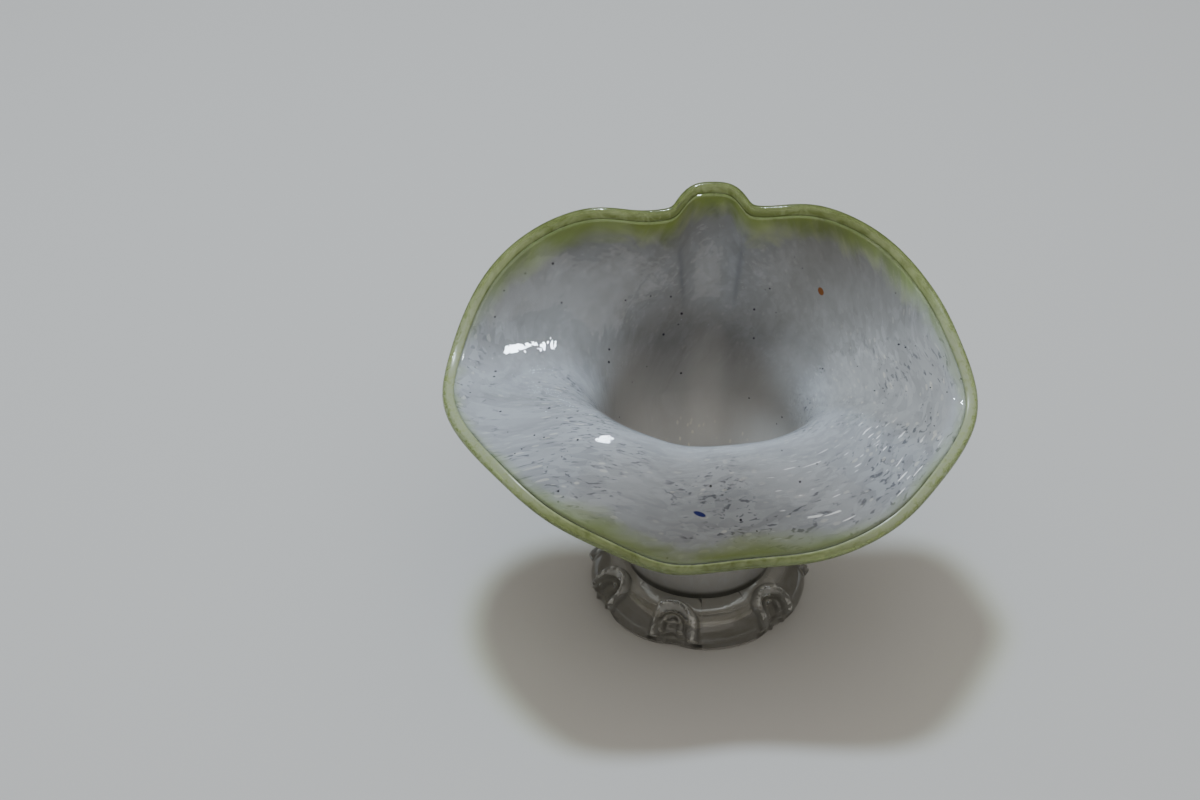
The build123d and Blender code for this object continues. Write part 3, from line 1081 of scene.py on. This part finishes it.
def footCollar(jointMaterial):
    # the collar, closed against the casing by joint faces, and the crimps melted on its face
    angle, points, normals, face, radius = collarSurface()
    low, high = np.searchsorted(face, 0.01), len(face) - 1
    side = casingSide(np.linspace(0, collar["seamAt"], collar["sideSteps"]))[-2:0:-1]
    rows = np.concatenate([points, revolve(side, angle)])
    nothing = np.zeros(rows.shape[:2] + (1,))
    plain = {"creaseShade": nothing, "crestHighlight": nothing}
    mesh = gridMesh("foot_collar", rows, closedRows=True, attributes=plain)
    index = np.zeros((len(rows), len(angle)), np.int32)
    index[len(points) - 1:] = 1
    step = 360 / collar["around"]
    reach = int(crimpShape["halfWidth"] / step)
    sides = np.arange(-reach, reach + 1)
    sideFade, footFade = crimpShape["edge"]
    glass = footGlass()
    patches = []
    for number, crimp in enumerate(collar["crimps"], 1):
        columns = (int(round(crimp / step)) + sides) % len(angle)
        index[low:high, columns[:-1]] = 1
        block = np.ix_(np.arange(low, high + 1), columns)
        across = np.radians(sides * step)[None, :] * radius[block]
        up = face[low:high + 1, None] + 0 * across
        edge = smooth((reach - np.abs(sides)) * step / sideFade)[None, :]
        edge = edge * smooth((up - face[low]) / footFade)
        relief = crimpRelief(across, up, number) * edge
        top = points[block] + relief[..., None] * normals[block]
        patches.append((number, points[block], top, creaseShadeAndCrestHighlight(relief, across, up)))
    markJoints(mesh, index.ravel())
    placePiece("foot_collar", mesh, [glass, jointMaterial], "clear", "foot_ring")
    for number, base, top, extras in patches:
        sheet = patchMesh(f"pinched_crimp_{number}", base, top, extras)
        placePiece(f"pinched_crimp_{number}", sheet, [glass, jointMaterial], "clear", f"foot_crimp_{number}")


def patchMesh(name, base, top, attributes):
    # a closed patch: the top sheet, the base sheet turned over, and the band that joins their edges,
    # where the two lie together
    rows, columns = base.shape[:2]
    vertices = np.vstack([base.reshape(-1, 3), top.reshape(-1, 3)])
    number = np.arange(rows * columns).reshape(rows, columns)
    quads = gridQuads(number)
    above = quads + rows * columns
    edge = np.concatenate([number[0, :-1], number[:-1, -1], number[-1, :0:-1], number[:0:-1, 0]])
    after = np.roll(edge, -1)
    band = np.stack([edge, after, after + rows * columns, edge + rows * columns], -1)
    faces = np.vstack([above, quads[:, ::-1], band])
    mesh = bpy.data.meshes.new(name)
    mesh.from_pydata((vertices * metre).tolist(), [], faces.tolist())
    for key, values in attributes.items():
        layer = mesh.attributes.new(key, "FLOAT", "POINT")
        layer.data.foreach_set("value", np.tile(values.ravel(), 2).astype(np.float32))
    markJoints(mesh, np.concatenate([np.zeros(len(above)), np.ones(len(quads)), np.zeros(len(band))]))
    return mesh


room = {
    "floorColour": (0.60, 0.60, 0.60),
    "floorRoughness": 0.9,
    "floorSize": 8.0,
    "skyLow": (0.19, 0.176, 0.152),  # the sky's colour at the horizon and overhead
    "skyHigh": (0.76, 0.71, 0.625),
    "lampDistance": 1.5,
}

# a cool key lamp behind and a wide warm fill in front, by direction from the bowl
lamps = {
    "key": {"way": (-0.125, 0.27, 1.0), "power": 15, "size": 0.20, "colour": (0.74, 0.87, 1.0)},
    "fill": {"way": (0.1, -0.6, 0.8), "power": 3.0, "size": 1.3, "colour": (1.0, 0.95, 0.88)},
}

view = {
    "lens": 60,
    "filmWidth": 36,
    "nearest": 0.01,
    "pitch": 35.482,  # degrees below the horizontal
    "place": (-0.03647, -0.57007, 0.48949),
}


def addToScene(name, data):
    # an object that isn't part of the bowl
    holder = bpy.data.objects.new(name, data)
    bpy.context.scene.collection.objects.link(holder)
    return holder


def setCamera():
    # looks down at the bowl from the front, level from side to side
    print("setting the camera")
    camera = bpy.data.cameras.new("camera")
    camera.lens = view["lens"]
    camera.sensor_width = view["filmWidth"]
    camera.clip_start = view["nearest"]
    holder = addToScene("camera", camera)
    holder.location = view["place"]
    holder.rotation_euler = (math.radians(90 - view["pitch"]), 0, 0)
    bpy.context.scene.camera = holder


def makeFloor():
    # one plain square
    print("laying the floor")
    half = room["floorSize"] / 2
    mesh = bpy.data.meshes.new("floor")
    corners = [(-half, -half, 0), (half, -half, 0), (half, half, 0), (-half, half, 0)]
    mesh.from_pydata(corners, [], [(0, 1, 2, 3)])
    floor = addToScene("floor", mesh)
    material, tree = newMaterial("floorPaint")
    paint = surface(tree, Base_Color=room["floorColour"], Roughness=room["floorRoughness"])
    finishMaterial(tree, paint)
    mesh.materials.append(material)


def hangLamp(name, way, power, size, colour):
    # a round soft lamp that faces the bowl
    way = np.array(way) / np.linalg.norm(way)
    lamp = bpy.data.lights.new(name, "AREA")
    lamp.shape = "DISK"
    lamp.size = size
    lamp.energy = power
    lamp.color = colour
    holder = addToScene(name, lamp)
    holder.location = way * room["lampDistance"]
    tilt, turn = math.atan2(math.hypot(way[0], way[1]), way[2]), math.atan2(way[0], -way[1])
    holder.rotation_euler = (tilt, 0, turn)


def lightRoom():
    # a sky that is brightest overhead, by the square of its height, and the lamps
    print("lighting the room")
    world = bpy.data.worlds.new("sky")
    world.use_nodes = True
    tree = world.node_tree
    tree.nodes.clear()
    way = makeNode(tree, "ShaderNodeTexCoord")["Generated"]
    high = makeNode(tree, "ShaderNodeSeparateXYZ", Vector=way)["Z"].ramp(0, 1) ** 2
    colour = colourMix(high, room["skyLow"], room["skyHigh"])
    sky = makeNode(tree, "ShaderNodeBackground", Color=colour)["Background"]
    output = tree.nodes.new("ShaderNodeOutputWorld")
    tree.links.new(sky.socket, output.inputs["Surface"])
    bpy.context.scene.world = world
    for name, lamp in lamps.items():
        hangLamp(name, **lamp)


setCamera()
makeFloor()
lightRoom()
joint = glassJoint()
opalLining()
clearWall(joint)
lipWrap(joint)
footCollar(joint)
